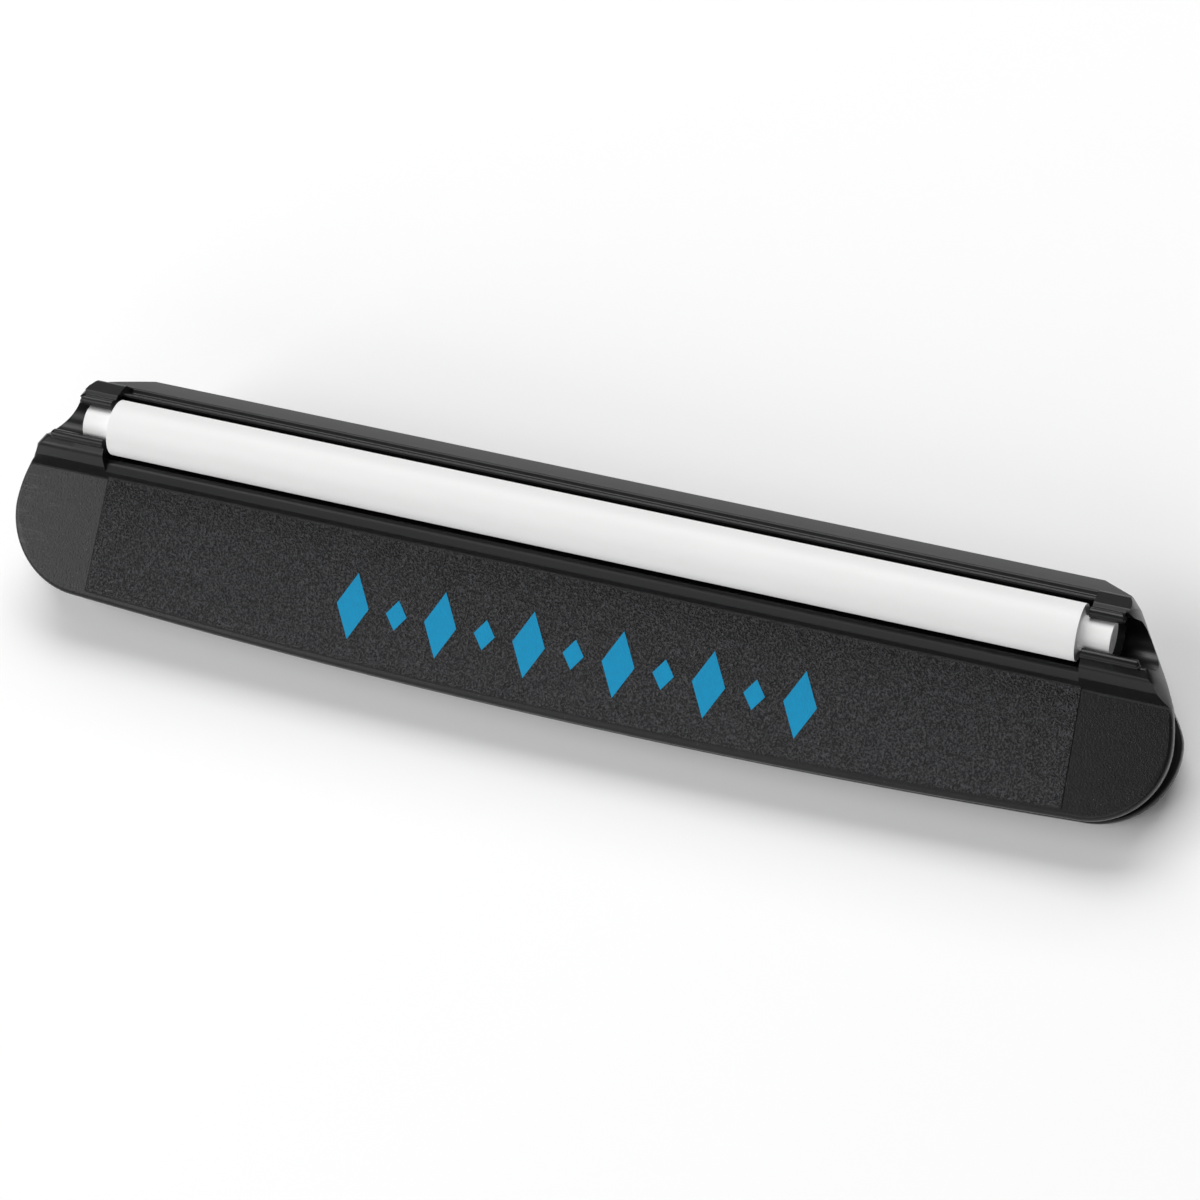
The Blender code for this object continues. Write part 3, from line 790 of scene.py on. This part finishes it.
def make_plastic():
    """Black plastic: satin all over, grained on the outer panels between smooth end patches,
    with fine handling scratches on the left one, pale specks of dust on both panels, and a
    painted highlight on the grain's crowns."""
    nodes = Nodes("black_moulded_plastic")
    panel, grained, left, crest = plastic_areas(nodes)
    height = grain_height(nodes)
    satin = nodes.noise((900.0, 1500.0, 1500.0), 4.0, 0.6)
    streaks = nodes.noise((420.0, 3600.0, 3600.0), 3.0, 0.65, 0.8)
    scratches = nodes.product(nodes.step(streaks, 0.50, 0.68), left, satin, panel)
    normal = nodes.bump(streaks, 0.000004)
    normal = nodes.bump(scratches, 0.000004, normal)
    normal = nodes.bump(nodes.product(height, panel), 0.00002, normal)
    normal = nodes.bump(nodes.product(height, grained), 0.0003, normal)
    nodes.put(nodes.shader.inputs["Normal"], normal)

    tone = nodes.noise(160.0, 3.0, 0.6)
    base = nodes.tint(tone, (0.0035, 0.0035, 0.004, 1.0), (0.007, 0.007, 0.0075, 1.0))
    # Painted highlight: the grain's crowns get a lighter colour that stands for the glints of light
    # they catch.
    painted_crown_glint = nodes.product(nodes.step(height, 0.52, 0.92), grained)
    base = nodes.tint(painted_crown_glint, base, (0.064, 0.064, 0.069, 1.0))
    base = nodes.tint(scratches, base, (0.050, 0.050, 0.053, 1.0))
    dust = nodes.product(nodes.step(nodes.cells(1500.0), 0.055, 0.035), panel)
    base = nodes.tint(dust, base, (0.16, 0.16, 0.165, 1.0))
    nodes.put(nodes.shader.inputs["Base Color"], base)

    rough = nodes.blend(satin, 0.22, 0.34)
    rough = nodes.math("MULTIPLY_ADD", streaks, 0.08, rough)
    rough = nodes.blend(grained, rough, 0.31)
    rough = nodes.blend(crest, rough, 0.48)
    nodes.put(nodes.shader.inputs["Roughness"], rough)
    nodes.shader.inputs["IOR"].default_value = 1.39
    return nodes.material


def make_ceramic():
    """White ceramic, faintly clouded and speckled, with a little light inside it."""
    nodes = Nodes("white_ceramic")
    cloud = nodes.noise((120.0, 260.0, 260.0), 4.0, 0.6)
    speck = nodes.noise(5200.0, 2.0, 0.6)
    turning = nodes.noise((4200.0, 120.0, 120.0), 2.0, 0.6)
    base = nodes.tint(cloud, (0.80, 0.80, 0.795, 1.0), (0.84, 0.84, 0.835, 1.0))
    grey = nodes.product(nodes.step(speck, 0.66, 0.8), 0.25)
    base = nodes.tint(grey, base, (0.68, 0.68, 0.67, 1.0))
    nodes.put(nodes.shader.inputs["Base Color"], base)
    nodes.put(nodes.shader.inputs["Roughness"], nodes.blend(speck, 0.42, 0.6))
    height = nodes.math("MULTIPLY_ADD", turning, 0.5, speck)
    nodes.put(nodes.shader.inputs["Normal"], nodes.bump(height, 0.000006, strength=0.6))
    nodes.shader.inputs["Subsurface Weight"].default_value = 0.15
    nodes.shader.inputs["Subsurface Scale"].default_value = 0.0006
    nodes.shader.inputs["Subsurface Radius"].default_value = (1.0, 1.0, 1.0)
    return nodes.material


def make_steel():
    """Rolled steel, brushed along x."""
    nodes = Nodes("rolled_spring_steel")
    brushed = nodes.noise((300.0, 9000.0, 9000.0), 3.0, 0.65)
    stain = nodes.noise(420.0, 4.0, 0.6)
    base = nodes.tint(stain, (0.50, 0.50, 0.52, 1.0), (0.66, 0.66, 0.68, 1.0))
    nodes.put(nodes.shader.inputs["Base Color"], base)
    nodes.shader.inputs["Metallic"].default_value = 1.0
    nodes.put(nodes.shader.inputs["Roughness"], nodes.blend(brushed, 0.22, 0.40))
    nodes.put(nodes.shader.inputs["Normal"], nodes.bump(brushed, 0.000003))
    return nodes.material


def make_rubber():
    """Dull black rubber with a dusty look."""
    nodes = Nodes("grip_rubber")
    fine = nodes.noise(5000.0, 3.0, 0.6)
    dust = nodes.noise(500.0, 4.0, 0.65)
    base = nodes.tint(dust, (0.020, 0.020, 0.021, 1.0), (0.036, 0.036, 0.037, 1.0))
    nodes.put(nodes.shader.inputs["Base Color"], base)
    nodes.put(nodes.shader.inputs["Roughness"], nodes.blend(fine, 0.66, 0.85))
    nodes.put(nodes.shader.inputs["Normal"], nodes.bump(fine, 0.00001, strength=0.8))
    return nodes.material


def make_ink():
    """Matt blue ink that follows the grain under it."""
    nodes = Nodes("blue_ink")
    height = grain_height(nodes)
    wear = nodes.noise(1400.0, 4.0, 0.65)
    base = nodes.tint(wear, (0.002, 0.24, 0.46, 1.0), (0.004, 0.31, 0.57, 1.0))
    nodes.put(nodes.shader.inputs["Base Color"], base)
    nodes.put(nodes.shader.inputs["Roughness"], nodes.blend(wear, 0.6, 0.8))
    nodes.put(nodes.shader.inputs["Normal"], nodes.bump(height, 0.00005))
    nodes.shader.inputs["Specular IOR Level"].default_value = 0.25
    return nodes.material


def make_floor_material():
    nodes = Nodes("pale_floor")
    nodes.place = nodes.add("ShaderNodeTexCoord").outputs["Object"]
    cloud = nodes.noise(6.0, 2.0, 0.5)
    base = nodes.tint(cloud, (0.955, 0.955, 0.955, 1.0), (0.965, 0.965, 0.965, 1.0))
    nodes.put(nodes.shader.inputs["Base Color"], base)
    nodes.shader.inputs["Roughness"].default_value = 0.9
    return nodes.material


# The guide.


def lay_down(piece, material):
    """Notes each point's place in the upright axes, then lays the mesh where the frame is."""
    mesh = piece.data
    upright = mesh.attributes.new(UPRIGHT, "FLOAT_VECTOR", "POINT")
    for vertex in mesh.vertices:
        upright.data[vertex.index].vector = vertex.co
    mesh.transform(TO_WORLD)
    mesh.materials.clear()
    mesh.materials.append(material)


def settle(piece, body, node, material):
    """Lays a piece down, on the body it rides, in place of its CAD node if it has one."""
    lay_down(piece, material)
    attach(piece, body)
    if node is not None:
        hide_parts(node)


def build_guide():
    """Both halves with their rods and pads, the print, the pin and the two springs."""
    plastic = make_plastic()
    ceramic = make_ceramic()
    steel = make_steel()
    rubber = make_rubber()
    halves = (("front", FRONT, FRONT_KNUCKLES), ("rear", REAR, REAR_KNUCKLES))
    for name, side, knuckles in halves:
        body = f"{name}_half"
        jaw = make_jaw(f"{name}_moulded_jaw", side, knuckles)
        settle(jaw, body, f"{name}_jaw", plastic)
        pad = make_pad(f"{name}_rubber_pad", side)
        settle(pad, body, f"{name}_grip_pad", rubber)
        rod = make_rod(f"{name}_rod", side)
        settle(rod, f"{name}_rod", f"{name}_ceramic_rod", ceramic)
    settle(make_marks(), "front_half", None, make_ink())
    settle(make_pin(), "rear_half", "hinge_pin", steel)
    for name, end in (("left", -1), ("right", 1)):
        spring = make_spring(f"{name}_folded_spring", end * SPRING_CENTRE)
        lay_down(spring, steel)
        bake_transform(spring)
        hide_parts(f"{name}_spring_clip")


# The studio, in metres and watts.

LIGHTS = (
    ("key", (-1.4, -0.84, 1.2), (1.6, 1.6), 28.0),
    ("front", (-0.1, -1.76, 0.94), (1.6, 1.0), 7.5),
    ("back", (-0.2, 1.2, 1.56), (1.6, 1.2), 28.0),
)
LIT_POINT = (0.0, 0.0, 0.008)
WORLD_LIGHT = 0.13
WORLD_SEEN = 0.75
FLOOR_HALF = 1.6

CAMERA_AZIMUTH = 16.042
CAMERA_ELEVATION = -2.772
CAMERA_ROLL = 13.046
CAMERA_DISTANCE = 0.450166
CAMERA_AIM = (0.0, 0.0, 0.01254)
CAMERA_LENS = 137.19
CAMERA_SHIFT = (0.00844, -0.00284)


def make_floor():
    work = bmesh.new()
    size = FLOOR_HALF
    corners = [(-size, -size), (size, -size), (size, size), (-size, size)]
    work.faces.new([work.verts.new((x, y, 0.0)) for x, y in corners])
    floor = new_object("floor", work)
    floor.data.materials.append(make_floor_material())


def area_light(name, place, size, power):
    data = bpy.data.lights.new(name, "AREA")
    data.shape = "RECTANGLE"
    data.size = size[0]
    data.size_y = size[1]
    data.energy = power
    light = bpy.data.objects.new(name, data)
    bpy.context.scene.collection.objects.link(light)
    light.location = place
    aim = Vector(LIT_POINT) - Vector(place)
    light.rotation_euler = aim.to_track_quat("-Z", "Y").to_euler()


def make_lights():
    """Three soft lights, and a world that lights little but is seen as a pale backdrop."""
    for light in LIGHTS:
        area_light(*light)
    world = bpy.data.worlds.new("studio")
    world.use_nodes = True
    background = world.node_tree.nodes["Background"]
    background.inputs["Color"].default_value = (1.0, 1.0, 1.0, 1.0)
    seen = world.node_tree.nodes.new("ShaderNodeLightPath")
    strength = world.node_tree.nodes.new("ShaderNodeMapRange")
    strength.inputs["To Min"].default_value = WORLD_LIGHT
    strength.inputs["To Max"].default_value = WORLD_SEEN
    world.node_tree.links.new(seen.outputs["Is Camera Ray"], strength.inputs["Value"])
    world.node_tree.links.new(strength.outputs["Result"], background.inputs["Strength"])
    bpy.context.scene.world = world


def make_camera():
    """A long lens a little right of square on to the front jaw, rolled to the picture."""
    azimuth = math.radians(CAMERA_AZIMUTH)
    elevation = math.radians(CAMERA_ELEVATION)
    roll = math.radians(CAMERA_ROLL)
    flat = math.cos(elevation)
    back = Vector((math.sin(azimuth) * flat, -math.cos(azimuth) * flat, math.sin(elevation)))
    level = Vector((math.cos(azimuth), math.sin(azimuth), 0.0))
    up = back.cross(level)
    right = math.cos(roll) * level + math.sin(roll) * up
    top = -math.sin(roll) * level + math.cos(roll) * up
    place = Vector(CAMERA_AIM) + back * CAMERA_DISTANCE
    pose = Matrix.Translation(place) @ Matrix((right, top, back)).transposed().to_4x4()
    data = bpy.data.cameras.new("camera")
    data.type = "PERSP"
    data.sensor_width = 36.0
    data.lens = CAMERA_LENS
    data.shift_x, data.shift_y = CAMERA_SHIFT
    data.clip_start = 0.01
    data.clip_end = 20.0
    camera = bpy.data.objects.new("camera", data)
    bpy.context.scene.collection.objects.link(camera)
    camera.matrix_world = TO_WORLD @ pose
    bpy.context.scene.camera = camera


build_guide()
make_floor()
make_lights()
make_camera()
bpy.context.scene.view_settings.view_transform = "Standard"
